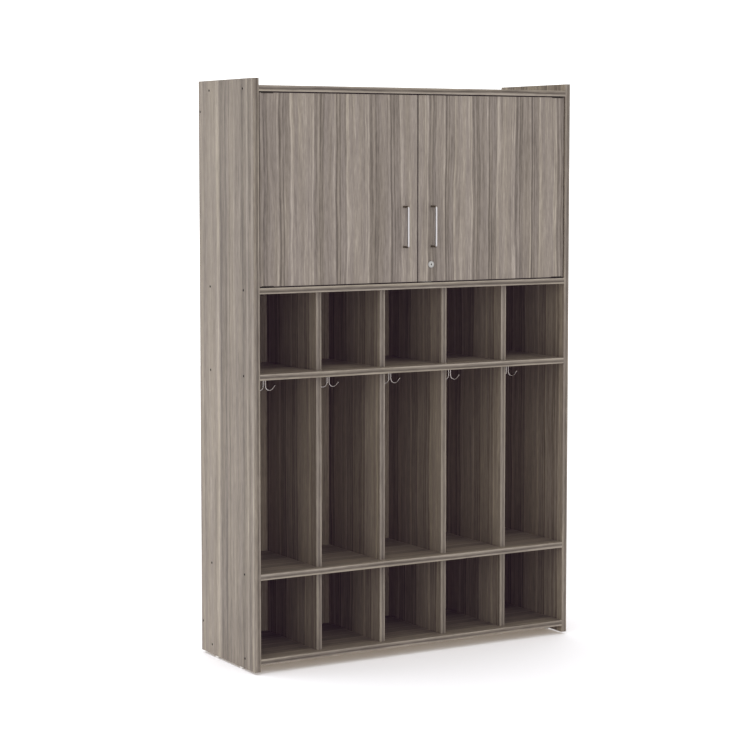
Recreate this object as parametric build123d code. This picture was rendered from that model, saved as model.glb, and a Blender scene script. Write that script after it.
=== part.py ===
from build123d import *
import math
import os

# Cubby coat locker with a two-door cupboard on top. Millimetres, +Z up, the doors face -Y.
# The origin is on the floor, at the middle of the width and of the whole depth, pulls included.

# ---- driving dimensions ----
overall_width = 1181.0      # outside of side panel to outside of side panel
carcase_depth = 381.0       # front edge to rear edge of a side panel
board = 19.0                # every laminated board
cubby_height = 248.0        # clear height of both tiers of small cubbies
coat_height = 605.0         # clear height of the coat bays
cupboard_height = 602.0     # clear height behind the doors
panel_inset = 21.5          # side panels pass the top and bottom panels by this much
columns = 5                 # bays side by side in each tier
partition_recess = 29.0     # partition front edge behind the shelf fronts
band = 1.0                  # edge banding
band_round = 0.8            # radius on the banding's outer edges

door_gap = 3.0              # round each door and between the two
door_recess = 3.5           # door face behind the shelf fronts

pull_centres = 128.0        # screw spacing of a pull
pull_rod = 7.0              # its rod diameter
pull_bend = 5.5             # bend radius at the rod's centre
pull_reach = 32.0           # door face to the front of the pull
pull_from_middle = 52.0     # pull to the middle of the cupboard
pull_height = 180.0         # pull's middle above the cupboard floor

hinge_in = 9.0              # pivot axis in from the door's hinge edge
hinge_back = 6.0            # pivot axis behind the door face
hinge_pin_radius = 2.5
hinge_fit = 0.05            # radial running clearance on the pin
leaf_length = 45.0
leaf_width = 14.0
leaf_thick = 2.5
pin_in_door = 9.0           # pin's length inside the door

lock_x = 50.0
lock_height = 58.0          # lock centre above the cupboard floor
lock_face_radius = 11.0
lock_barrel_radius = 9.5
lock_plug_radius = 6.0
lock_fit = 0.05             # radial running clearance of the plug
cam_reach = 52.0            # lock centre to the cam's tip
strike_height = 15.0

hook_y_from_front = 178.0
hook_wire = 4.0
hook_spacing = 7.6          # between the two stems
hook_drop = 52.0            # shelf underside to the lowest point of the wire's centre
hook_bend = 15.5            # radius of the J
hook_tip_turn = 50.0        # how far the J turns past its lowest point, degrees
hook_tip_run = 10.0         # straight end of the J
hook_ball_radius = 3.2

glide_height = 8.0
glide_radius = 9.0
glide_chamfer = 1.2
glide_stem_radius = 2.5
glide_stem_in = 18.0        # stem's length inside the side panel
glide_from_end = 105.0      # along the side panel's underside

screw_radius = 2.5          # carcase screw's shank
screw_head_radius = 4.0
screw_length = 50.0
screw_from_front = 74.0
screw_from_rear = 75.0
rear_screw_from_end = 97.0  # the two screws into the back panel, from the side panel's ends

dowel_radius = 4.0
dowel_in_shelf = 9.0
dowel_in_partition = 21.0
dowels_from_front = (96.0, 256.0)   # in the lower and upper tiers
dowel_step = 32.0           # tiers alternate by this much, so that dowels never meet in a shelf

# ---- places worked out from them ----
pull_overhang = pull_reach - door_recess
front_y = (pull_overhang - carcase_depth) / 2
rear_y = front_y + carcase_depth
back_y = rear_y - board                     # front face of the back panel
side_x = overall_width / 2                  # outside of the right side panel
inner_x = side_x - board                    # its inside
side_low = glide_height
bottom_top = side_low + panel_inset + board
boot_top = bottom_top + cubby_height + board
coat_top = boot_top + coat_height + board
cabinet_top = coat_top + cubby_height + board
roof_low = cabinet_top + cupboard_height
roof_top = roof_low + board
side_top = roof_top + panel_inset

column_width = (2 * inner_x - (columns - 1) * board) / columns
partition_centres = [
    -inner_x + n * (column_width + board) - board / 2 for n in range(1, columns)
]
column_centres = [
    -inner_x + (n + 0.5) * column_width + n * board for n in range(columns)
]
shelf_levels = {
    "bottom_panel": bottom_top,
    "boot_shelf": boot_top,
    "cubby_shelf": coat_top,
    "cabinet_shelf": cabinet_top,
    "top_panel": roof_top,
}
tiers = {
    "lower": (bottom_top, boot_top - board, 0.0),
    "coat": (boot_top, coat_top - board, dowel_step),
    "upper": (coat_top, cabinet_top - board, 0.0),
}
partition_front = front_y + partition_recess
dowel_ys = [front_y + step for step in dowels_from_front]
screw_ys = [front_y + screw_from_front, rear_y - screw_from_rear]
rear_screw_zs = [side_low + rear_screw_from_end, side_top - rear_screw_from_end]

door_width = (2 * inner_x - 3 * door_gap) / 2
door_face_y = front_y + door_recess
door_back_y = door_face_y + board
door_low = cabinet_top + door_gap
door_top = roof_low - door_gap
hinge_x = inner_x - door_gap - hinge_in
hinge_y = door_face_y + hinge_back
pull_z = cabinet_top + pull_height
lock_z = cabinet_top + lock_height
hook_y = front_y + hook_y_from_front
shelf_under_hooks = coat_top - board


# ---- shapes that several parts use ----
def block(x0, x1, y0, y1, z0, z1):
    """A box between two corners."""
    size = Box(x1 - x0, y1 - y0, z1 - z0)
    return Pos((x0 + x1) / 2, (y0 + y1) / 2, (z0 + z1) / 2) * size


def rod(start, direction, radius, length):
    """A round bar from a point along a direction."""
    place = Plane(origin=start, z_dir=direction)
    return place * Cylinder(radius, length, align=(Align.CENTER, Align.CENTER, Align.MIN))


def cone(start, direction, radius, end_radius, length):
    """A cone from a point along a direction."""
    place = Plane(origin=start, z_dir=direction)
    shape = Cone(radius, end_radius, length, align=(Align.CENTER, Align.CENTER, Align.MIN))
    return place * shape


def banding(x0, x1, y0, y1, z0, z1, along, outward):
    """A strip of edge banding, its two long outer edges rounded."""
    strip = block(x0, x1, y0, y1, z0, z1)
    face = strip.faces().sort_by(outward)[-1]
    return fillet(face.edges().filter_by(along), band_round)


def flat_head_screw(start, direction, head_radius, shank_radius, length, head_depth, drive=1.5):
    """A countersunk screw whose head is flush at start, with a hexagon recess."""
    head = cone(start, direction, head_radius, shank_radius, head_depth)
    shank = rod(start, direction, shank_radius, length)
    recess = Plane(origin=start, z_dir=direction) * extrude(RegularPolygon(drive, 6), head_depth)
    return head + shank - recess


def flat_head_bore(start, direction, head_radius, shank_radius, length, head_depth):
    """The countersunk hole that a flat head screw fills."""
    head = cone(start, direction, head_radius, shank_radius, head_depth)
    return head + rod(start, direction, shank_radius, length)


def cross_slot(start, long, wide, deep):
    """The cross recess of a pan head that faces +Y."""
    arms = Box(long, wide, deep) + Box(wide, long, deep)
    return Plane(origin=start, z_dir=(0, -1, 0)) * arms


def write(name, solids):
    """One STEP file for a node: a single solid, or a group of separate ones."""
    solids = list(solids) if isinstance(solids, (list, tuple)) else [solids]
    shape = Compound(children=[s for part in solids for s in part.solids()])
    shape.label = name
    export_step(shape, f"parts/{name}.step")


# ---- carcase ----
carcase_head_depth = 3.5
head_recess = 0.4           # screw heads below the side panels' faces


def carcase_screw_places():
    """(start, direction) of each screw driven through a side panel."""
    places = []
    for sign in (-1, 1):
        x = sign * (side_x - head_recess)
        for top in shelf_levels.values():
            places += [((x, y, top - board / 2), (-sign, 0, 0)) for y in screw_ys]
        places += [((x, rear_y - board / 2, z), (-sign, 0, 0)) for z in rear_screw_zs]
    return places


def carcase_screws():
    return [
        flat_head_screw(p, d, screw_head_radius, screw_radius, screw_length, carcase_head_depth)
        for p, d in carcase_screw_places()
    ]


def carcase_bores(side=None):
    """The holes of the carcase screws, of both sides or of one, mouths in the outside faces."""
    bores = []
    for (x, y, z), d in carcase_screw_places():
        if side is not None and x * side < 0:
            continue
        bores.append(
            flat_head_bore((x, y, z), d, screw_head_radius, screw_radius, screw_length,
                           carcase_head_depth)
        )
        bores.append(rod((x - d[0] * head_recess, y, z), d, screw_head_radius, head_recess))
    return bores


def side_panel(sign):
    x0, x1 = sorted((sign * inner_x, sign * side_x))
    panel = block(x0, x1, front_y + band, rear_y, side_low, side_top - band)
    return panel - carcase_bores(sign)


def dowel_places():
    """(shelf face point, direction into the shelf) of each dowel at a partition's ends."""
    places = []
    for low, high, step in tiers.values():
        for x in partition_centres:
            for y in dowel_ys:
                places.append(((x, y + step, low), (0, 0, -1)))
                places.append(((x, y + step, high), (0, 0, 1)))
    return places


def dowels():
    """Beech dowels, half hidden in the shelf and half in the partition."""
    made = []
    for (x, y, z), d in dowel_places():
        start = (x, y, z - d[2] * dowel_in_partition)
        made.append(rod(start, d, dowel_radius, dowel_in_partition + dowel_in_shelf))
    return made


def dowels_near(z_low, z_high):
    """The dowels that reach into the layer between two heights."""
    found = []
    for dowel in dowels():
        box = dowel.bounding_box()
        if box.min.Z < z_high and box.max.Z > z_low:
            found.append(dowel)
    return found


def end_bores(ends):
    """The screws' holes in both ends of a full-width board, at (y, z) places."""
    return [
        rod((sign * side_x, y, z), (-sign, 0, 0), screw_radius, screw_length + head_recess)
        for sign in (-1, 1)
        for y, z in ends
    ]


def shelf(name):
    """A full-width board. The top panel alone runs over the back panel."""
    top = shelf_levels[name]
    rear = rear_y if name == "top_panel" else back_y
    panel = block(-inner_x, inner_x, front_y + band, rear, top - board, top)
    panel -= end_bores([(y, top - board / 2) for y in screw_ys])
    inside = dowels_near(top - board, top)
    if inside:
        panel -= inside
    return panel


def back_panel():
    panel = block(-inner_x, inner_x, back_y, rear_y, side_low + panel_inset, roof_low)
    return panel - end_bores([(rear_y - board / 2, z) for z in rear_screw_zs])


def partition(x, low, high):
    panel = block(x - board / 2, x + board / 2, partition_front + band, back_y, low, high)
    return panel - [d for d in dowels_near(low, high) if abs(d.center().X - x) < board]


def shelf_edge_bands():
    """Banding on the fronts of the five full-width boards."""
    return [
        banding(-inner_x, inner_x, front_y, front_y + band, top - board, top, Axis.X, -Axis.Y)
        for top in shelf_levels.values()
    ]


def upright_edge_bands():
    """Banding on the side panels' fronts and tops and on the partitions' fronts."""
    strips = []
    for sign in (-1, 1):
        x0, x1 = sorted((sign * inner_x, sign * side_x))
        strips.append(
            banding(x0, x1, front_y, front_y + band, side_low, side_top - band, Axis.Z, -Axis.Y)
        )
        strips.append(
            banding(x0, x1, front_y, rear_y, side_top - band, side_top, Axis.Y, Axis.Z)
        )
    for low, high, _ in tiers.values():
        for x in partition_centres:
            strips.append(
                banding(x - board / 2, x + board / 2, partition_front, partition_front + band,
                        low, high, Axis.Z, -Axis.Y)
            )
    return strips


def glides():
    """Nylon discs with a stem pressed up into the side panels."""
    made = []
    for sign in (-1, 1):
        x = sign * (side_x - board / 2)
        for y in (front_y + glide_from_end, rear_y - glide_from_end):
            disc = rod((x, y, 0), (0, 0, 1), glide_radius, glide_height)
            disc = chamfer(disc.edges().sort_by(Axis.Z)[0], glide_chamfer)
            stem = rod((x, y, 0), (0, 0, 1), glide_stem_radius, glide_height + glide_stem_in)
            made.append(disc + stem)
    return made


# ---- doors ----
# z of the cabinet's face and the direction from it to the door, for a door's two pivots
hinge_corners = [(cabinet_top, 1), (roof_low, -1)]


def leaf(sign, z, up):
    """A hinge leaf: a flat strip, round about the pivot, from height z upwards or downwards."""
    inward = -sign
    z0, z1 = sorted((z, z + up * leaf_thick))
    far = sign * hinge_x + inward * (leaf_length - leaf_width / 2)
    x0, x1 = sorted((sign * hinge_x, far))
    strip = block(x0, x1, hinge_y - leaf_width / 2, hinge_y + leaf_width / 2, z0, z1)
    return strip + rod((sign * hinge_x, hinge_y, z0), (0, 0, 1), leaf_width / 2, leaf_thick)


leaf_screw_steps = (14.0, 30.0)     # along the leaf, from the pivot
leaf_screw_radius = 1.8
leaf_screw_head = 3.5
leaf_screw_length = 15.0
leaf_screw_depth = 2.0      # of the countersink
small_drive = 1.0           # hexagon recess of the small screws, centre to corner


def leaf_screw_places(sign, z, direction):
    return [
        ((sign * (hinge_x - step), hinge_y, z), (0, 0, direction)) for step in leaf_screw_steps
    ]


def leaf_screws(places):
    return [
        flat_head_screw(p, d, leaf_screw_head, leaf_screw_radius, leaf_screw_length,
                        leaf_screw_depth, small_drive)
        for p, d in places
    ]


def leaf_bores(places):
    return [
        flat_head_bore(p, d, leaf_screw_head, leaf_screw_radius, leaf_screw_length,
                       leaf_screw_depth)
        for p, d in places
    ]


def frame_leaf_screw_places(sign):
    """Screws through the cabinet's leaves, heads towards the door."""
    return [
        place
        for z, to_door in hinge_corners
        for place in leaf_screw_places(sign, z, -to_door)
    ]


def door_leaf_screw_places(sign):
    """Screws through the door's leaves, heads towards the cabinet."""
    return [
        place
        for z, to_door in hinge_corners
        for place in leaf_screw_places(sign, z + to_door * door_gap, to_door)
    ]


def frame_leaves(sign):
    """The leaves let into the cupboard's floor and roof, with the pins' seats."""
    made = []
    for z, to_door in hinge_corners:
        plate = leaf(sign, z, -to_door)
        start = (sign * hinge_x, hinge_y, z - to_door * leaf_thick)
        plate -= rod(start, (0, 0, to_door), hinge_pin_radius, leaf_thick)
        made.append(plate - leaf_bores(leaf_screw_places(sign, z, -to_door)))
    return made


def door_leaves(sign):
    """The leaves let into the door's top and bottom edges, each with its pivot hole."""
    made = []
    for z, to_door in hinge_corners:
        edge = z + to_door * door_gap
        plate = leaf(sign, edge, to_door)
        start = (sign * hinge_x, hinge_y, edge)
        plate -= rod(start, (0, 0, to_door), hinge_pin_radius + hinge_fit, leaf_thick)
        made.append(plate - leaf_bores(leaf_screw_places(sign, edge, to_door)))
    return made


def hinge_pins():
    """Pins fast in the cabinet's leaves, reaching into the doors."""
    made = []
    for sign in (-1, 1):
        for z, to_door in hinge_corners:
            start = (sign * hinge_x, hinge_y, z - to_door * leaf_thick)
            length = leaf_thick + door_gap + pin_in_door
            made.append(rod(start, (0, 0, to_door), hinge_pin_radius, length))
    return made


washer_radius = 6.0
washer_slack = 0.15         # left between washer and door leaf


def hinge_washers():
    made = []
    for sign in (-1, 1):
        for z, to_door in hinge_corners:
            start = (sign * hinge_x, hinge_y, z)
            ring = rod(start, (0, 0, to_door), washer_radius, door_gap - washer_slack)
            made.append(ring - rod(start, (0, 0, to_door), hinge_pin_radius, door_gap))
    return made


def frame_mortises(level):
    """What the cabinet's leaves and their screws take out of the board at a height."""
    return [
        cut
        for sign in (-1, 1)
        for z, to_door in hinge_corners
        if z == level
        for cut in [
            leaf(sign, z, -to_door),
            *leaf_bores(leaf_screw_places(sign, z, -to_door)),
        ]
    ]


pin_room = 0.6              # radial room round the pin in the door's core
pin_end_room = 1.0          # room past the pin's end


def door_mortises(sign):
    """What the door's leaves, pins and leaf screws take out of the door."""
    cuts = []
    for z, to_door in hinge_corners:
        edge = z + to_door * door_gap
        start = (sign * hinge_x, hinge_y, edge)
        cuts.append(leaf(sign, edge, to_door))
        cuts.append(rod(start, (0, 0, to_door), hinge_pin_radius + pin_room,
                        pin_in_door + pin_end_room))
        cuts += leaf_bores(leaf_screw_places(sign, edge, to_door))
    return cuts


def door_sides(sign):
    """Lowest and highest x of a door."""
    return sorted((sign * door_gap / 2, sign * (door_gap / 2 + door_width)))


def door_panel(sign):
    x0, x1 = door_sides(sign)
    panel = block(x0 + band, x1 - band, door_face_y, door_back_y, door_low + band, door_top - band)
    panel -= door_mortises(sign)
    panel -= pull_screw_bores(sign)
    panel -= plate_bore(sign)
    if sign > 0:
        panel -= rod((lock_x, door_face_y, lock_z), (0, 1, 0), lock_barrel_radius, board)
    return panel


def door_edge_bands(sign):
    """Banding on the door's four edges: the upright strips run the full height."""
    x0, x1 = door_sides(sign)
    y0, y1 = door_face_y, door_back_y
    strips = [
        banding(x0, x0 + band, y0, y1, door_low, door_top, Axis.Z, -Axis.X),
        banding(x1 - band, x1, y0, y1, door_low, door_top, Axis.Z, Axis.X),
        banding(x0 + band, x1 - band, y0, y1, door_low, door_low + band, Axis.X, -Axis.Z),
        banding(x0 + band, x1 - band, y0, y1, door_top - band, door_top, Axis.X, Axis.Z),
    ]
    return [strip - door_mortises(sign) for strip in strips]


# ---- pulls ----
pull_screw_radius = 2.0
pull_screw_in_post = 10.0
pull_screw_head_radius = 4.2
pull_screw_head = 2.6       # height of the pan head
pull_screw_round = 1.4
pull_screw_slot = (5.0, 1.0, 2.4)   # length, width and twice the depth of the cross's arms


def pull_ends():
    return [pull_z - pull_centres / 2, pull_z + pull_centres / 2]


def pull(sign):
    """A rod bent square at both ends, standing on the door face, tapped for its screws."""
    x = sign * pull_from_middle
    low, high = pull_ends()
    bar_y = door_face_y - pull_reach + pull_rod / 2
    corners = [(x, door_face_y, low), (x, bar_y, low), (x, bar_y, high), (x, door_face_y, high)]
    path = FilletPolyline(*corners, radius=pull_bend)
    section = Plane(origin=corners[0], z_dir=(0, -1, 0)) * Circle(pull_rod / 2)
    bent = sweep(section, path)
    return bent - [
        rod((x, door_face_y, z), (0, -1, 0), pull_screw_radius, pull_screw_in_post)
        for z in (low, high)
    ]


def pull_screws(sign):
    """Pan head screws from inside the door."""
    made = []
    for z in pull_ends():
        start = (sign * pull_from_middle, door_back_y + pull_screw_head, z)
        head = rod(start, (0, -1, 0), pull_screw_head_radius, pull_screw_head)
        head = fillet(head.edges().sort_by(Axis.Y)[-1], pull_screw_round)
        length = pull_screw_head + board + pull_screw_in_post
        shank = rod(start, (0, -1, 0), pull_screw_radius, length)
        made.append(head + shank - cross_slot(start, *pull_screw_slot))
    return made


def pull_screw_bores(sign):
    x = sign * pull_from_middle
    return [rod((x, door_back_y, z), (0, -1, 0), pull_screw_radius, board) for z in pull_ends()]


# ---- lock in the right door ----
lock_face_thick = 2.6
lock_face_chamfer = 0.9
barrel_behind_door = 9.0
lock_barrel_length = board + barrel_behind_door
lock_nut_radius = 14.0      # centre to corner
lock_nut_thick = 4.0
plug_front = 0.3            # plug face behind the housing face
key_slot_half = (1.1, 3.6)
key_slot_deep = 9.0
cam_clear = 0.2             # between barrel and cam
cam_thick = 2.2
cam_width = 13.0
cam_y = door_back_y + barrel_behind_door + cam_clear
cam_square = 7.0            # square end of the plug, across its flats
lock_screw_radius = 2.0
lock_screw_in = 6.0         # screw's length inside the plug
lock_screw_head_radius = 5.0
lock_screw_head = 2.4
lock_screw_round = 1.2
lock_screw_slot = (5.5, 1.1, 2.2)


def lock_point(y):
    return (lock_x, y, lock_z)


def lock_housing():
    """Round face, barrel through the door, bored for the plug."""
    face = rod(lock_point(door_face_y - lock_face_thick), (0, 1, 0), lock_face_radius,
               lock_face_thick)
    face = chamfer(face.edges().sort_by(Axis.Y)[0], lock_face_chamfer)
    barrel = rod(lock_point(door_face_y), (0, 1, 0), lock_barrel_radius, lock_barrel_length)
    bore = rod(lock_point(door_face_y - lock_face_thick), (0, 1, 0),
               lock_plug_radius + lock_fit, lock_face_thick + lock_barrel_length)
    return face + barrel - bore


def lock_nut():
    """Hexagon nut on the barrel, tight against the door's back."""
    ring = RegularPolygon(lock_nut_radius, 6) - Circle(lock_barrel_radius)
    return Plane(origin=lock_point(door_back_y), z_dir=(0, 1, 0)) * extrude(ring, lock_nut_thick)


def lock_plug():
    """The turning core: round with a key slot in front, square where the cam sits."""
    front = door_face_y - lock_face_thick + plug_front
    core = rod(lock_point(front), (0, 1, 0), lock_plug_radius, cam_y - front)
    square = Plane(origin=lock_point(cam_y), z_dir=(0, 1, 0)) * extrude(
        Rectangle(cam_square, cam_square), cam_thick
    )
    half_x, half_z = key_slot_half
    key = block(lock_x - half_x, lock_x + half_x, front, front + key_slot_deep, lock_z - half_z,
                lock_z + half_z)
    thread = rod(lock_point(cam_y - lock_screw_in), (0, 1, 0), lock_screw_radius,
                 cam_thick + lock_screw_in)
    return core + square - key - thread


def lock_cam():
    """Flat arm on the square, level while unlocked, round at its tip."""
    tip = cam_reach - cam_width / 2
    arm = block(lock_x, lock_x + tip, cam_y, cam_y + cam_thick, lock_z - cam_width / 2,
                lock_z + cam_width / 2)
    for x in (lock_x, lock_x + tip):
        arm += rod((x, cam_y, lock_z), (0, 1, 0), cam_width / 2, cam_thick)
    half = cam_square / 2
    return arm - block(lock_x - half, lock_x + half, cam_y, cam_y + cam_thick, lock_z - half,
                       lock_z + half)


def lock_cam_screw():
    """Pan head screw that keeps the cam on the plug."""
    start = lock_point(cam_y + cam_thick + lock_screw_head)
    head = rod(start, (0, -1, 0), lock_screw_head_radius, lock_screw_head)
    head = fillet(head.edges().sort_by(Axis.Y)[-1], lock_screw_round)
    length = lock_screw_head + cam_thick + lock_screw_in
    shank = rod(start, (0, -1, 0), lock_screw_radius, length)
    return head + shank - cross_slot(start, *lock_screw_slot)


strike_thick = 2.0
strike_clear = 1.2          # between the strike's flange and the cam behind it
strike_y = cam_y - strike_clear - strike_thick
strike_half = 17.0
strike_depth = 24.0
strike_screw_steps = (-10.0, 10.0)
strike_screw_back = 14.4    # screws behind the flange's front face
small_head_radius = 3.5     # flat head screws of the strike and the catches
small_radius = 1.8
small_head_depth = 1.8
strike_screw_length = 15.0


def strike_screw_places():
    y = strike_y + strike_screw_back
    return [((lock_x + step, y, cabinet_top + strike_thick), (0, 0, -1))
            for step in strike_screw_steps]


def small_screws(places, length):
    return [
        flat_head_screw(p, d, small_head_radius, small_radius, length, small_head_depth,
                        small_drive)
        for p, d in places
    ]


def small_bores(places, length):
    return [
        flat_head_bore(p, d, small_head_radius, small_radius, length, small_head_depth)
        for p, d in places
    ]


def lock_strike():
    """Angle on the cupboard floor: the cam turns down behind its upright flange."""
    x0, x1 = lock_x - strike_half, lock_x + strike_half
    foot = block(x0, x1, strike_y, strike_y + strike_depth, cabinet_top,
                 cabinet_top + strike_thick)
    flange = block(x0, x1, strike_y, strike_y + strike_thick, cabinet_top,
                   cabinet_top + strike_height)
    return foot + flange - small_bores(strike_screw_places(), strike_screw_length)


# ---- magnetic catches under the roof ----
catch_x = 46.0
catch_half = 21.0
catch_high = 13.0
catch_deep = 16.0
catch_screw_steps = (-14.0, 14.0)
catch_screw_back = 9.6      # screws behind the poles' front faces
catch_screw_length = 26.0
pole_half = 9.0             # half a pole strip's length
pole_out = 0.6              # poles in front of the housing
pole_deep = 4.0
pole_half_thick = 0.9
pole_from_middle = 3.2      # the two strips above and below the plate's middle
plate_thick = 1.4
catch_clear = 0.4           # between magnet and plate
catch_y = door_back_y + plate_thick + catch_clear
plate_z = roof_low - catch_high / 2
plate_half = 15.0
plate_below = 7.0
plate_above = 3.3           # stays under the door's top edge
plate_screw_length = 13.0
plate_screw_head = 2.2
plate_screw_shank = 1.3
plate_screw_depth = 1.2
plate_screw_drive = 0.8


def catch_screw_places():
    """Two screws up through each catch into the roof."""
    return [
        ((sign * catch_x + step, catch_y + catch_screw_back, roof_low - catch_high), (0, 0, 1))
        for sign in (-1, 1)
        for step in catch_screw_steps
    ]


def door_catches():
    """Catch housings, each with two steel pole strips standing towards the door."""
    made = []
    for sign in (-1, 1):
        x = sign * catch_x
        body = block(x - catch_half, x + catch_half, catch_y + pole_out, catch_y + catch_deep,
                     roof_low - catch_high, roof_low)
        for z in (plate_z - pole_from_middle, plate_z + pole_from_middle):
            body += block(x - pole_half, x + pole_half, catch_y, catch_y + pole_deep,
                          z - pole_half_thick, z + pole_half_thick)
        made.append(body - small_bores(catch_screw_places(), catch_screw_length))
    return made


def plate_screw_place(sign):
    """Start and direction of the screw, level with the gap between the magnet's poles."""
    return (sign * catch_x, door_back_y + plate_thick, plate_z), (0, -1, 0)


def plate_screw(sign):
    """Countersunk screw through a catch plate into the door."""
    return flat_head_screw(*plate_screw_place(sign), plate_screw_head, plate_screw_shank,
                           plate_screw_length, plate_screw_depth, plate_screw_drive)


def plate_bore(sign):
    """The hole of a catch plate's screw, through the plate and into the door."""
    return flat_head_bore(*plate_screw_place(sign), plate_screw_head, plate_screw_shank,
                          plate_screw_length, plate_screw_depth)


def catch_plate(sign):
    """Steel plate on the door's back that the magnet holds."""
    x = sign * catch_x
    plate = block(x - plate_half, x + plate_half, door_back_y, door_back_y + plate_thick,
                  plate_z - plate_below, plate_z + plate_above)
    return plate - plate_bore(sign)


# ---- coat hooks ----
hook_plate_long = 44.0
hook_plate_wide = 16.0
hook_plate_thick = 2.5
hook_plate_round = 4.0
hook_screw_step = 16.0
hook_screw_head = 3.2
hook_screw_radius = 1.7
hook_screw_length = 14.0
hook_screw_depth = 1.8      # of the countersink


def hook_screw_places():
    z = shelf_under_hooks - hook_plate_thick
    return [
        ((x + side * hook_screw_step, hook_y, z), (0, 0, 1))
        for x in column_centres
        for side in (-1, 1)
    ]


def hook_screws():
    return [
        flat_head_screw(p, d, hook_screw_head, hook_screw_radius, hook_screw_length,
                        hook_screw_depth, small_drive)
        for p, d in hook_screw_places()
    ]


def hook_bores():
    return [
        flat_head_bore(p, d, hook_screw_head, hook_screw_radius, hook_screw_length,
                       hook_screw_depth)
        for p, d in hook_screw_places()
    ]


def prong(x, side):
    """One J of wire, from inside the base plate round to its ball."""
    stem = x + side * hook_spacing / 2
    top = shelf_under_hooks - hook_plate_thick / 2
    centre_z = shelf_under_hooks - hook_drop + hook_bend
    turn = math.radians(hook_tip_turn)

    def on_arc(angle):
        """A point of the J's arc, its angle counted from the lowest point outwards."""
        out = stem + side * (hook_bend + hook_bend * math.sin(angle))
        return (out, hook_y, centre_z - hook_bend * math.cos(angle))

    start = (stem, hook_y, top)
    bend_start = (stem, hook_y, centre_z)
    end = on_arc(turn)
    tip = (
        end[0] + side * hook_tip_run * math.cos(turn),
        hook_y,
        end[2] + hook_tip_run * math.sin(turn),
    )
    path = Line(start, bend_start)
    path += ThreePointArc(bend_start, on_arc(0.0), end)
    path += Line(end, tip)
    section = Plane(origin=start, z_dir=(0, 0, -1)) * Circle(hook_wire / 2)
    return sweep(section, path) + Pos(*tip) * Sphere(hook_ball_radius)


def coat_hook(x):
    """Double hook: base plate under the shelf with two prongs, left and right."""
    plate = block(x - hook_plate_long / 2, x + hook_plate_long / 2, hook_y - hook_plate_wide / 2,
                  hook_y + hook_plate_wide / 2, shelf_under_hooks - hook_plate_thick,
                  shelf_under_hooks)
    plate = fillet(plate.edges().filter_by(Axis.Z), hook_plate_round)
    return plate + prong(x, -1) + prong(x, 1) - hook_bores()


# ---- write every node ----
def main():
    os.makedirs("parts", exist_ok=True)
    glide_seats = glides()
    write("left_side_panel", side_panel(-1) - glide_seats)
    write("right_side_panel", side_panel(1) - glide_seats)
    for name in shelf_levels:
        panel = shelf(name)
        if name == "top_panel":
            panel -= frame_mortises(roof_low)
            panel -= small_bores(catch_screw_places(), catch_screw_length)
        if name == "cabinet_shelf":
            panel -= frame_mortises(cabinet_top)
            panel -= small_bores(strike_screw_places(), strike_screw_length)
        if name == "cubby_shelf":
            panel -= hook_bores()
        write(name, panel)
    write("back_panel", back_panel())
    for tier, (low, high, _) in tiers.items():
        for n, x in enumerate(partition_centres, 1):
            write(f"{tier}_partition_{n}", partition(x, low, high))
    write("shelf_edge_bands", shelf_edge_bands())
    write("upright_edge_bands", upright_edge_bands())
    write("carcase_screws", carcase_screws())
    write("partition_dowels", dowels())
    write("glides", glide_seats)

    both = (-1, 1)
    write("hinge_frame_leaves", [p for sign in both for p in frame_leaves(sign)])
    write("hinge_pins", hinge_pins())
    write("hinge_washers", hinge_washers())
    write("hinge_frame_screws",
          [s for sign in both for s in leaf_screws(frame_leaf_screw_places(sign))])
    for side, sign in (("left", -1), ("right", 1)):
        write(f"{side}_door", door_panel(sign))
        write(f"{side}_door_edge_bands", door_edge_bands(sign))
        write(f"{side}_hinge_door_leaves", door_leaves(sign))
        write(f"{side}_hinge_door_screws", leaf_screws(door_leaf_screw_places(sign)))
        write(f"{side}_pull", pull(sign))
        write(f"{side}_pull_screws", pull_screws(sign))
        write(f"{side}_catch_plate", catch_plate(sign))
        write(f"{side}_catch_plate_screw", plate_screw(sign))
    write("door_catches", door_catches())
    write("catch_screws", small_screws(catch_screw_places(), catch_screw_length))

    write("lock_housing", lock_housing())
    write("lock_nut", lock_nut())
    write("lock_plug", lock_plug())
    write("lock_cam", lock_cam())
    write("lock_cam_screw", lock_cam_screw())
    write("lock_strike", lock_strike())
    write("lock_strike_screws", small_screws(strike_screw_places(), strike_screw_length))

    for n, x in enumerate(column_centres, 1):
        write(f"coat_hook_{n}", coat_hook(x))
    write("coat_hook_screws", hook_screws())


main()
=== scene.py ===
import math

import bpy
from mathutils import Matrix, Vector

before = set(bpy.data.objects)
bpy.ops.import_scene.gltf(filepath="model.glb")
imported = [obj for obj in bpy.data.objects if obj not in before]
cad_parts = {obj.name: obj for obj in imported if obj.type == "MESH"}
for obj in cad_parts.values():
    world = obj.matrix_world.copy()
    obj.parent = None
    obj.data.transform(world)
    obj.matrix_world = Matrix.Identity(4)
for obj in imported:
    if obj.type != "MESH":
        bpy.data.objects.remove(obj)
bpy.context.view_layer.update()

X, Y, Z = (1, 0, 0), (0, 1, 0), (0, 0, 1)
XZ, YZ = (1, 0, 1), (0, 1, 1)       # for bands that run both ways round a corner
WHITE = (1.0, 1.0, 1.0)
SQUARE_ON = 0.7                     # cosine above which a face counts as square to an axis


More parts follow.
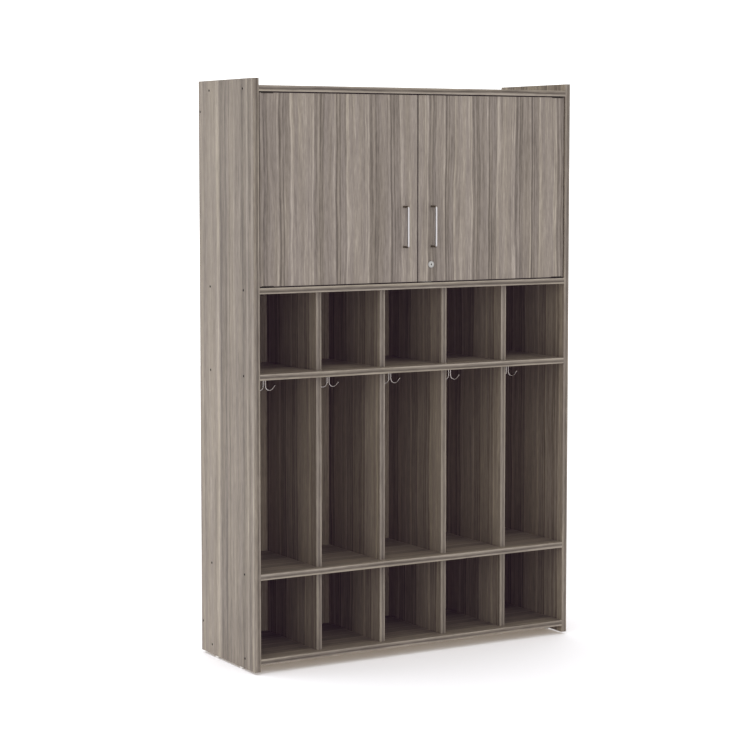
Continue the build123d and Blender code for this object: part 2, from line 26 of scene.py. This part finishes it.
# ---- small node-graph helper ----
class Graph:
    """Adds and links shader nodes of one material with little writing."""

    def __init__(self, name):
        self.material = bpy.data.materials.new(name)
        self.material.use_nodes = True
        self.nodes = self.material.node_tree.nodes
        self.links = self.material.node_tree.links
        self.nodes.clear()

    def plug(self, socket, value):
        """Links a socket to another one, or sets its number."""
        if isinstance(value, bpy.types.NodeSocket):
            self.links.new(value, socket)
        else:
            socket.default_value = value

    def math(self, operation, a, b=0.0):
        node = self.nodes.new("ShaderNodeMath")
        node.operation = operation
        self.plug(node.inputs[0], a)
        self.plug(node.inputs[1], b)
        return node.outputs[0]

    def dot(self, vector, direction):
        node = self.nodes.new("ShaderNodeVectorMath")
        node.operation = "DOT_PRODUCT"
        self.plug(node.inputs[0], vector)
        node.inputs[1].default_value = direction
        return node.outputs["Value"]

    def scale(self, vector, factors):
        """Stretches a vector by one factor per axis."""
        node = self.nodes.new("ShaderNodeVectorMath")
        node.operation = "MULTIPLY"
        self.plug(node.inputs[0], vector)
        node.inputs[1].default_value = factors
        return node.outputs[0]

    def combine(self, x, y, z):
        node = self.nodes.new("ShaderNodeCombineXYZ")
        for socket, value in zip(node.inputs, (x, y, z)):
            self.plug(socket, value)
        return node.outputs[0]

    def noise(self, vector, scale=1.0, detail=2.0, roughness=0.5):
        node = self.nodes.new("ShaderNodeTexNoise")
        self.plug(node.inputs["Vector"], vector)
        node.inputs["Scale"].default_value = scale
        node.inputs["Detail"].default_value = detail
        node.inputs["Roughness"].default_value = roughness
        return node.outputs["Fac"]

    def ramp(self, value, stops):
        """stops is a list of (position, grey or colour)."""
        node = self.nodes.new("ShaderNodeValToRGB")
        elements = node.color_ramp.elements
        while len(elements) < len(stops):
            elements.new(0.5)
        for element, (place, tone) in zip(elements, stops):
            element.position = place
            grey = isinstance(tone, float)
            element.color = (tone, tone, tone, 1.0) if grey else (*tone, 1.0)
        self.plug(node.inputs[0], value)
        return node.outputs["Color"]

    def mix(self, share, a, b, blend="MIX"):
        node = self.nodes.new("ShaderNodeMix")
        node.data_type = "RGBA"
        node.blend_type = blend
        self.plug(node.inputs[0], share)
        for socket, value in ((node.inputs[6], a), (node.inputs[7], b)):
            if isinstance(value, tuple):
                value = (*value, 1.0)
            self.plug(socket, value)
        return node.outputs[2]

    def position(self):
        return self.nodes.new("ShaderNodeTexCoord").outputs["Object"]

    def faces(self, axis):
        """1 on the faces square to an axis, 0 on the others."""
        normal = self.nodes.new("ShaderNodeTexCoord").outputs["Normal"]
        return self.math("GREATER_THAN", self.math("ABSOLUTE", self.dot(normal, axis)), SQUARE_ON)

    def choose(self, share, a, b):
        """Number a where share is 0, number b where it is 1."""
        rest = self.math("SUBTRACT", 1.0, share)
        return self.math("ADD", self.math("MULTIPLY", rest, a), self.math("MULTIPLY", share, b))

    def surface(self, color, roughness, height=None, bump=0.0, depth=0.0005, **constants):
        """A Principled surface with an optional bump; constants are socket values by name."""
        shader = self.nodes.new("ShaderNodeBsdfPrincipled")
        if isinstance(color, tuple):
            color = (*color, 1.0)
        self.plug(shader.inputs["Base Color"], color)
        self.plug(shader.inputs["Roughness"], roughness)
        for name, value in constants.items():
            shader.inputs[name.replace("_", " ")].default_value = value
        if height is not None:
            node = self.nodes.new("ShaderNodeBump")
            node.inputs["Strength"].default_value = bump
            node.inputs["Distance"].default_value = depth
            self.plug(node.inputs["Height"], height)
            self.links.new(node.outputs[0], shader.inputs["Normal"])
        output = self.nodes.new("ShaderNodeOutputMaterial")
        self.links.new(shader.outputs[0], output.inputs["Surface"])
        return self.material


# ---- grey elm woodgrain ----
# tone across one repeat of the print, from one bright vein to the next
GRAIN_TONES = [
    (0.00, 0.95), (0.03, 0.74), (0.06, 0.56), (0.10, 0.50), (0.14, 0.68), (0.22, 0.60),
    (0.29, 0.64), (0.31, 0.48), (0.335, 0.78), (0.36, 0.56), (0.39, 0.92), (0.41, 0.34),
    (0.445, 0.14), (0.48, 0.60), (0.50, 0.46), (0.52, 0.00), (0.545, 0.38), (0.57, 0.14),
    (0.60, 0.50), (0.70, 0.44), (0.75, 0.56), (0.77, 0.82), (0.79, 0.60), (0.81, -0.15),
    (0.83, 0.34), (0.85, 0.60), (0.87, 0.06), (0.895, 0.52), (0.92, 0.36), (0.95, 0.44),
    (0.975, 0.32), (1.00, 0.95),
]

# tone across the left side panel, from its front edge to its rear edge
SIDE_TONES = [
    (0.00, 0.10), (0.03, 0.82), (0.05, 0.46), (0.085, 0.20), (0.105, 0.42), (0.125, 0.80),
    (0.145, 0.34), (0.18, 0.30), (0.20, 0.12), (0.22, 0.34), (0.25, 0.50), (0.29, 0.46),
    (0.325, 0.38), (0.355, 0.66), (0.39, 0.44), (0.43, 0.58), (0.44, 0.12), (0.46, 0.56),
    (0.49, 0.44), (0.505, 0.04), (0.53, 0.38), (0.57, 0.30), (0.60, 0.14), (0.625, 0.62),
    (0.65, 0.95), (0.69, 0.66), (0.72, 0.54), (0.80, 0.70), (0.86, 0.58), (0.91, 0.40),
    (0.94, 0.76), (1.00, 0.50),
]

# tone across a shelf's banded front, from its lower to its upper edge
SHELF_TONES = [
    (0.00, 0.98), (0.16, 0.92), (0.28, 0.58), (0.38, 0.06), (0.50, 0.02), (0.60, 0.36),
    (0.74, 0.58), (0.86, 0.94), (1.00, 0.98),
]

# tone across an upright's banded front: light edges with a dark line between
EDGE_TONES = [
    (0.00, 0.60), (0.12, 0.68), (0.30, 0.54), (0.44, 0.40), (0.56, 0.06), (0.66, 0.34),
    (0.78, 0.50), (0.90, 0.86), (1.00, 0.60),
]

# base colours from the darkest line of the grain to the brightest vein
ELM_COLORS = [
    (0.00, (0.083, 0.069, 0.056)), (0.30, (0.138, 0.117, 0.098)), (0.50, (0.178, 0.152, 0.130)),
    (0.68, (0.209, 0.180, 0.151)), (1.00, (0.305, 0.268, 0.229)),
]
PRINT_MEAN = 0.46                   # the print's contrast is eased about this tone
PRINT_CONTRAST = 0.84
ELM_OLIVE = (1.00, 0.995, 0.950)    # the two casts that the print drifts between
ELM_LILAC = (1.00, 0.998, 1.00)
LEVEL_FLOOR = 0.15                  # the tones reach this far below zero
PAINTED_SHADE_GLOW = (0.004, 0.0008, 0.006) # painted glow: every board emits this faint violet light, so its deepest shade reads violet
PAINTED_BOUNCE_CAST = (1.03, 1.0, 0.88)     # painted bounce light: boards that see little but other boards are given a warmer colour
SIDE_CAST = (1.0, 0.995, 0.96)      # painted light: the cooler colour of outer faces and banded fronts, which take more light

# noise layers laid over the print: lines per metre across and along the grain, and weight
BROAD_LAYERS = [(14.0, 2.6, 0.32), (110.0, 4.0, 0.62), (210.0, 10.0, 0.62), (300.0, 34.0, 0.50)]
FINE_LINES = (900.0, 14.0, 0.45)
FLECKS = (1400.0, 60.0, 0.30)
WANDER = (9.0, 2.4)                 # how fast the print wanders sideways, lines per metre
CAST_DRIFT = (46.0, 1.2)            # the same for the drift between the two casts
CAST_RANGE = (0.38, 0.62)           # noise at which the drift is all olive and all lilac

# steps between the noise slices, so that no two layers share a pattern
WANDER_SLICE = 0.0
BROAD_SLICE = 1.7
FINE_SLICE = 9.3
FLECK_SLICE = 11.9
CAST_SLICE = 14.1

ELM_ROUGHNESS = 0.50
ELM_ROUGHNESS_SPREAD = 0.12
ELM_SHINE = 0.18
ELM_RELIEF = (0.6, 0.4)             # shares of the fine lines and the flecks
ELM_BUMP = 0.25
ELM_BUMP_DEPTH = 0.0002             # metres

DOOR_REPEAT = 0.199                 # metres across the grain before the print repeats
RIGHT_DOOR_REPEAT = 0.167
BAY_PITCH = 0.2324                  # middle of one partition to the middle of the next
EDGE_REPEATS_PER_BAY = 12           # whole, so that every partition shows the same lines
UPRIGHT_EDGE_REPEAT = BAY_PITCH / EDGE_REPEATS_PER_BAY
SHELF_EDGE_REPEAT = 0.0178


def elm(name, across, along, tones=GRAIN_TONES, repeat=DOOR_REPEAT, offset=0.0, shade=1.0,
        seed=0.0, drift=0.022, contrast=PRINT_CONTRAST, cast=WHITE, outside=None):
    """Woodgrain laminate whose streaks run along one direction of the board and of its edges.

    across and along lie in the board's broad faces. repeat and drift are in metres, offset is a
    share of the repeat, and shade and cast multiply the colours as painted light and shade: they
    set each board's copy of the print lighter or darker, warmer or cooler, by how much light it
    takes.
    outside is (middle, shade, cast) for a board whose outer face, beyond its middle, is painted as
    lit differently from the one that looks into the unit.
    """
    g = Graph(name)
    place = g.position()
    u, v = g.dot(place, across), g.dot(place, along)
    through = tuple(1 - a - b for a, b in zip(across, along))
    if through in (X, Y, Z):
        # the grain runs the long way along the board's edges too
        board_u = u
        u = g.choose(g.faces(through), g.dot(place, through), board_u)
        v = g.choose(g.faces(along), v, board_u)

    def layer(u, across_scale, along_scale, step):
        """Noise stretched along the grain, centred on zero."""
        at = g.combine(g.math("MULTIPLY", u, across_scale), g.math("MULTIPLY", v, along_scale),
                       seed + step)
        return g.math("SUBTRACT", g.noise(at), 0.5)

    # the streaks wander sideways a little along the board
    u = g.math("ADD", u, g.math("MULTIPLY", layer(u, *WANDER, WANDER_SLICE), drift))
    cycle = g.math("FRACT", g.math("ADD", g.math("DIVIDE", u, repeat), offset))
    eased = [(at, PRINT_MEAN + contrast * (tone - PRINT_MEAN) + LEVEL_FLOOR) for at, tone in tones]
    level = g.ramp(cycle, eased)

    for n, (across_scale, along_scale, weight) in enumerate(BROAD_LAYERS):
        part = layer(u, across_scale, along_scale, BROAD_SLICE * (n + 1))
        level = g.math("ADD", level, g.math("MULTIPLY", part, weight))
    *fine_scales, fine_weight = FINE_LINES
    *fleck_scales, fleck_weight = FLECKS
    fine = layer(u, *fine_scales, FINE_SLICE)
    flecks = layer(u, *fleck_scales, FLECK_SLICE)
    level = g.math("ADD", level, g.math("MULTIPLY", fine, fine_weight))
    level = g.math("ADD", level, g.math("MULTIPLY", flecks, fleck_weight))

    span = 1.0 + LEVEL_FLOOR
    stops = [
        ((at + LEVEL_FLOOR) / span, tuple(shade * part * tone for part, tone in zip(cast, color)))
        for at, color in ELM_COLORS
    ]
    color = g.ramp(g.math("DIVIDE", level, span), stops)
    all_olive, all_lilac = CAST_RANGE
    lilac = g.ramp(g.math("ADD", layer(u, *CAST_DRIFT, CAST_SLICE), 0.5),
                   [(all_olive, 0.0), (all_lilac, 1.0)])
    color = g.mix(1.0, color, g.mix(lilac, ELM_OLIVE, ELM_LILAC), "MULTIPLY")
    if outside:
        middle, outer_shade, outer_cast = outside
        outer = g.math("GREATER_THAN", g.dot(place, through), middle)
        change = tuple(outer_shade / shade * b / a for a, b in zip(cast, outer_cast))
        color = g.mix(1.0, color, g.mix(outer, WHITE, change), "MULTIPLY")
    roughness = g.math("ADD", g.math("MULTIPLY", fine, ELM_ROUGHNESS_SPREAD), ELM_ROUGHNESS)
    fine_share, fleck_share = ELM_RELIEF
    relief = g.math("ADD", g.math("MULTIPLY", fine, fine_share),
                    g.math("MULTIPLY", flecks, fleck_share))
    # painted glow: each board emits a faint violet light that colours its deepest shade
    return g.surface(color, roughness, relief, bump=ELM_BUMP, depth=ELM_BUMP_DEPTH,
                     Specular_IOR_Level=ELM_SHINE, Emission_Color=(*PAINTED_SHADE_GLOW, 1.0),
                     Emission_Strength=1.0)


# ---- metals and plastics ----
# noise scales are in lines or patches per metre
BRUSH_ALONG, BRUSH_ACROSS = 120.0, 3500.0
BRUSH_SHARE = 0.35                  # how far the brushing pulls towards the darker tone
BRUSH_DARK = 0.8                    # the darker tone, as a share of the colour
METAL_PATCHES = 260.0
METAL_ROUGHNESS_SPREAD = 0.12
PLASTIC_PATCHES = 320.0
PLASTIC_ROUGHNESS_SPREAD = 0.14
ORANGE_PEEL = 2600.0
TURNING_LINES = 4000.0
BEECH_GRAIN = (900.0, 900.0, 60.0)
SURFACE_DETAIL = (3.0, 0.6)         # octaves of a finish's noise, strength of the small ones
FINISH_DEPTH = 0.0001               # metres of relief


def brushing(g, place, brushed_along):
    """Fine lines along one direction."""
    scales = tuple(BRUSH_ALONG if part else BRUSH_ACROSS for part in brushed_along)
    return g.noise(g.scale(place, scales), 1.0, *SURFACE_DETAIL)


def uneven(g, place, scale, spread, middle):
    """A value that varies in patches by a spread about its middle."""
    patches = g.noise(place, scale, *SURFACE_DETAIL)
    return g.math("ADD", g.math("MULTIPLY", patches, spread), middle - spread / 2)


def satin_metal(name, color, roughness, brushed_along, scratch=0.05):
    """Plated metal with fine brushing along one direction."""
    g = Graph(name)
    place = g.position()
    lines = brushing(g, place, brushed_along)
    dark = tuple(BRUSH_DARK * channel for channel in color)
    tint = g.mix(g.math("MULTIPLY", lines, BRUSH_SHARE), color, dark)
    rough = uneven(g, place, METAL_PATCHES, METAL_ROUGHNESS_SPREAD, roughness)
    return g.surface(tint, rough, lines, bump=scratch, depth=FINISH_DEPTH, Metallic=1.0)


PULL_BAR_FROM = -0.2038             # y in front of which a pull shows its nickel; behind it the bar carries painted shade and the posts a painted dark reflection
PULL_Z = 1.3865                     # middle of the pulls
PULL_POST_FROM = 0.057              # distance from the middle at which the bar bends into a post
PULL_BLEND = 0.0018                 # metres
PULL_ROUGHNESS = 0.32
BAR_BRIGHT, BAR_BRUSHED = (0.50, 0.48, 0.485), (0.40, 0.39, 0.395)
BAR_BRUSH_SHARE = 0.3
# painted shade on the back of the bar and a painted dark reflection of the door on the posts
BAR_PAINTED_SHADE, POST_PAINTED_REFLECTION = (0.11, 0.10, 0.09), (0.20, 0.17, 0.145)


def pull_finish():
    """Satin nickel bar brushed along its length, with painted shade on the bar's back and a painted
    dark reflection on the posts.
    """
    g = Graph("pull_nickel")
    place = g.position()

    def past(distance, start):
        """0 before the start, 1 beyond it, with a short blend between."""
        return g.ramp(g.math("DIVIDE", g.math("SUBTRACT", distance, start), PULL_BLEND),
                      [(0.0, 0.0), (1.0, 1.0)])

    height = g.math("ABSOLUTE", g.math("SUBTRACT", g.dot(place, Z), PULL_Z))
    behind, ends = past(g.dot(place, Y), PULL_BAR_FROM), past(height, PULL_POST_FROM)
    lines = brushing(g, place, Z)
    bar = g.mix(g.math("MULTIPLY", lines, BAR_BRUSH_SHARE), BAR_BRIGHT, BAR_BRUSHED)
    # painted shade behind the bar's front and a painted dark reflection on the posts
    tint = g.mix(behind, bar, g.mix(ends, BAR_PAINTED_SHADE, POST_PAINTED_REFLECTION))
    rough = uneven(g, place, METAL_PATCHES, METAL_ROUGHNESS_SPREAD, PULL_ROUGHNESS)
    return g.surface(tint, rough, lines, bump=0.05, depth=FINISH_DEPTH, Metallic=1.0)


LOCK_X, LOCK_Z = 0.050, 1.2645      # the lock's axis
# colours by distance from the lock's axis, metres: painted shade in and around the keyway, then the
# nickel
KEYWAY_SHADE = [(0.0032, (0.012, 0.010, 0.009)), (0.0043, (0.56, 0.55, 0.53))]


def lock_core():
    """Turned nickel core, painted dark around the keyway as the shade of the slot's hollow."""
    g = Graph("lock_core")
    place = g.position()
    x = g.math("SUBTRACT", g.dot(place, X), LOCK_X)
    z = g.math("SUBTRACT", g.dot(place, Z), LOCK_Z)
    radius = g.math("SQRT", g.math("ADD", g.math("MULTIPLY", x, x), g.math("MULTIPLY", z, z)))
    color = g.ramp(radius, KEYWAY_SHADE)
    turning = g.noise(g.combine(g.math("MULTIPLY", radius, TURNING_LINES), 0.0, 0.0))
    return g.surface(color, 0.3, turning, bump=0.08, depth=FINISH_DEPTH, Metallic=1.0)


def plain_plastic(name, color, roughness, mottling=0.08, shine=0.5):
    """Moulded plastic or oxide finish: slight mottling and a fine orange-peel relief."""
    g = Graph(name)
    place = g.position()
    patches = g.noise(place, PLASTIC_PATCHES, *SURFACE_DETAIL)
    dark = tuple((1 - 2 * mottling) * channel for channel in color)
    tint = g.mix(patches, color, dark)
    rough = uneven(g, place, PLASTIC_PATCHES, PLASTIC_ROUGHNESS_SPREAD, roughness)
    peel = g.noise(place, ORANGE_PEEL)
    return g.surface(tint, rough, peel, bump=0.15, depth=FINISH_DEPTH, Specular_IOR_Level=shine)


def beech():
    """Raw turned beech for the dowels."""
    g = Graph("beech")
    grain = g.noise(g.scale(g.position(), BEECH_GRAIN), 1.0, *SURFACE_DETAIL)
    color = g.ramp(grain, [(0.2, (0.31, 0.20, 0.12)), (0.8, (0.46, 0.34, 0.22))])
    return g.surface(color, 0.7, grain, bump=0.3, depth=2 * FINISH_DEPTH)


def paint(nodes, material):
    """Gives CAD nodes a material through their slots."""
    for node in nodes:
        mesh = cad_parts[node].data
        if not mesh.materials:
            mesh.materials.append(material)
        for index in range(len(mesh.materials)):
            mesh.materials[index] = material


# ---- boards ----
FRONT_EDGE = -0.17625               # y of the side panels' front edges
SIDE_DEPTH = 0.381
RIGHT_SIDE_MIDDLE = 0.581           # x inside the right side panel's thickness
BACK_MIDDLE = 0.195                 # y inside the back panel's thickness
TOP_MIDDLE = 1.818                  # z inside the top panel's thickness
LEFT_DOOR_VEIN = -0.459             # x of one bright vein of each door
RIGHT_DOOR_VEIN = 0.139
OUTER_SHADE = 0.84                  # outer faces take more light, so their print is set darker
# painted shade: each shelf's print is set darker the more shade it sits in, the bottom panel most
SHELF_SHADES = (("bottom_panel", 0.76), ("boot_shelf", 0.86), ("cubby_shelf", 0.94),
                ("cabinet_shelf", 0.94), ("top_panel", 0.94))
TIERS = ("lower", "coat", "upper")


def dress_boards():
    """Woodgrain on every board and band, each board's print set lighter or darker by painted light
    and shade.
    """
    left_side = elm("elm_left_side", Y, Z, SIDE_TONES, SIDE_DEPTH, -FRONT_EDGE / SIDE_DEPTH,
                    seed=1.0, shade=0.82, drift=0.012, cast=SIDE_CAST)
    paint(["left_side_panel"], left_side)
    right_side = elm("elm_right_side", Y, Z, offset=0.15, seed=2.0, cast=PAINTED_BOUNCE_CAST,
                     outside=(RIGHT_SIDE_MIDDLE, OUTER_SHADE, SIDE_CAST))
    paint(["right_side_panel"], right_side)
    # painted light: the back's inner face is set much lighter than its outer face
    back = elm("elm_back", X, Z, offset=0.6, seed=3.0, shade=1.38, contrast=0.5, cast=PAINTED_BOUNCE_CAST,
               outside=(BACK_MIDDLE, OUTER_SHADE, SIDE_CAST))
    paint(["back_panel"], back)
    left = elm("elm_left_door", X, Z, offset=-LEFT_DOOR_VEIN / DOOR_REPEAT, shade=1.03, seed=4.0)
    right = elm("elm_right_door", X, Z, repeat=RIGHT_DOOR_REPEAT, shade=1.03, seed=5.0,
                offset=-RIGHT_DOOR_VEIN / RIGHT_DOOR_REPEAT)
    paint(["left_door"], left)
    paint(["right_door"], right)
    for n, (shelf, shade) in enumerate(SHELF_SHADES):
        outside = (TOP_MIDDLE, OUTER_SHADE, SIDE_CAST) if shelf == "top_panel" else None
        paint([shelf], elm(f"elm_{shelf}", Y, X, offset=0.21 * n, shade=shade, seed=6.0 + n,
                           cast=PAINTED_BOUNCE_CAST, outside=outside))
    # each partition is cut from another place of the print
    for t, tier in enumerate(TIERS):
        for n in range(1, 5):
            material = elm(f"elm_{tier}_{n}", Y, Z, offset=0.13 * n + 0.4 * t,
                           seed=12.0 + 4 * t + n, shade=0.95, cast=PAINTED_BOUNCE_CAST)
            paint([f"{tier}_partition_{n}"], material)
    shelf_fronts = elm("elm_shelf_fronts", Z, X, SHELF_TONES, SHELF_EDGE_REPEAT, offset=0.32,
                       shade=0.85, seed=31.0, drift=0.008, contrast=0.94, cast=SIDE_CAST)
    upright_fronts = elm("elm_upright_fronts", X, YZ, EDGE_TONES, UPRIGHT_EDGE_REPEAT, offset=0.49,
                         shade=0.88, seed=32.0, drift=0.003, contrast=1.0, cast=SIDE_CAST)
    door_edges = elm("elm_door_edges", Y, XZ, EDGE_TONES, SHELF_EDGE_REPEAT, offset=0.3,
                     shade=OUTER_SHADE, seed=33.0, drift=0.003, contrast=1.0)
    paint(["shelf_edge_bands"], shelf_fronts)
    paint(["upright_edge_bands"], upright_fronts)
    paint(["left_door_edge_bands", "right_door_edge_bands"], door_edges)


# ---- hardware ----
def dress_hardware():
    """Metals, plastics and dowels."""
    paint(["left_pull", "right_pull"], pull_finish())
    paint(["lock_housing"], satin_metal("lock_face", (0.33, 0.32, 0.31), 0.34, X))
    paint(["lock_plug"], lock_core())
    wire = satin_metal("bright_wire", (0.58, 0.53, 0.51), 0.26, Z, 0.02)
    paint([f"coat_hook_{n}" for n in range(1, 6)], wire)
    zinc = satin_metal("zinc_plate", (0.44, 0.44, 0.43), 0.38, X)
    zinc_nodes = [
        "catch_screws", "coat_hook_screws", "lock_nut", "lock_cam", "lock_cam_screw",
        "lock_strike", "lock_strike_screws",
    ]
    bronze = satin_metal("bronze_plate", (0.030, 0.025, 0.022), 0.42, X)
    bronze_nodes = ["hinge_frame_leaves", "hinge_pins", "hinge_frame_screws"]
    for side in ("left", "right"):
        zinc_nodes += [f"{side}_pull_screws", f"{side}_catch_plate", f"{side}_catch_plate_screw"]
        bronze_nodes += [f"{side}_hinge_door_leaves", f"{side}_hinge_door_screws"]
    paint(zinc_nodes, zinc)
    paint(bronze_nodes, bronze)
    paint(["carcase_screws"], plain_plastic("black_oxide", (0.003, 0.002, 0.002), 0.6, shine=0.05))
    paint(["door_catches"], plain_plastic("brown_catch", (0.07, 0.053, 0.042), 0.5))
    paint(["hinge_washers"], plain_plastic("black_nylon", (0.008, 0.007, 0.007), 0.5, shine=0.2))
    # pale nylon glides, their grey set darker as painted shade so that they blend into the shade
    # under the unit
    paint(["glides"], plain_plastic("pale_nylon_painted_shade", (0.50, 0.48, 0.46), 0.4))
    paint(["partition_dowels"], beech())


# ---- room, light and camera ----
FLOOR_SIDE = 18.0                   # metres
FLOOR_PALE = (0.71, 0.73, 0.78)
FLOOR_MOTTLING = 0.98               # share of the colour left in the floor's darker patches
FLOOR_PATCHES = 40.0                # per metre
FLOOR_GLOW = (0.195, 0.160, 0.122)  # keeps the shade under the unit a light beige
WORLD_STRENGTH = 1.5


def make_floor():
    """A plain pale floor under the glides."""
    bpy.ops.mesh.primitive_plane_add(size=FLOOR_SIDE, location=(0, 0, 0))
    floor = bpy.context.object
    floor.name = "studio_floor"
    g = Graph("pale_floor")
    grain = g.noise(g.position(), FLOOR_PATCHES, 4.0, 0.6)
    tint = g.mix(grain, FLOOR_PALE, tuple(FLOOR_MOTTLING * channel for channel in FLOOR_PALE))
    floor.data.materials.append(
        g.surface(tint, 0.7, grain, bump=0.02, Specular_IOR_Level=0.1,
                  Emission_Color=(*FLOOR_GLOW, 1.0), Emission_Strength=1.0)
    )


def make_world():
    """An even white studio all round."""
    world = bpy.data.worlds.new("studio")
    world.use_nodes = True
    background = world.node_tree.nodes["Background"]
    background.inputs["Color"].default_value = (*WHITE, 1.0)
    background.inputs["Strength"].default_value = WORLD_STRENGTH
    bpy.context.scene.world = world


def area_light(name, place, target, width, height, power):
    """A soft box that faces its target; sizes in metres, power in watts."""
    data = bpy.data.lights.new(name, "AREA")
    data.shape = "RECTANGLE"
    data.size = width
    data.size_y = height
    data.energy = power
    light = bpy.data.objects.new(name, data)
    light.location = place
    light.rotation_euler = (Vector(target) - Vector(place)).to_track_quat("-Z", "Y").to_euler()
    bpy.context.scene.collection.objects.link(light)


CAMERA_PLACE = (-3.628, -6.069, 1.603)  # metres
CAMERA_TURN = 30.34                 # degrees from +Y towards +X
CAMERA_DIP = 4.62                   # degrees below level
CAMERA_LENS = 105.06                # millimetres
CAMERA_SHIFT = -0.05                # share of the frame; keeps the uprights nearly parallel
SENSOR_WIDTH = 36.0                 # millimetres
CAMERA_REACH = 100.0                # metres


def make_camera():
    """The scene's camera, left of the front and a little above the middle."""
    turn, dip = math.radians(CAMERA_TURN), math.radians(CAMERA_DIP)
    data = bpy.data.cameras.new("camera")
    data.lens = CAMERA_LENS
    data.sensor_width = SENSOR_WIDTH
    data.shift_y = CAMERA_SHIFT
    data.clip_end = CAMERA_REACH
    camera = bpy.data.objects.new("camera", data)
    ahead = Vector((math.sin(turn) * math.cos(dip), math.cos(turn) * math.cos(dip), -math.sin(dip)))
    camera.location = CAMERA_PLACE
    camera.rotation_euler = ahead.to_track_quat("-Z", "Y").to_euler()
    bpy.context.scene.collection.objects.link(camera)
    bpy.context.scene.camera = camera


make_camera()
dress_boards()
dress_hardware()
make_floor()
make_world()
area_light("key", (-3.2, 0.7, 0.25), (-0.6, 0, 0.2), width=1.6, height=0.4, power=36)
area_light("high", (-2.0, 1.2, 5.0), (-1.0, 0, 0), width=1.5, height=1.5, power=40)
bpy.context.scene.view_settings.view_transform = "Standard"
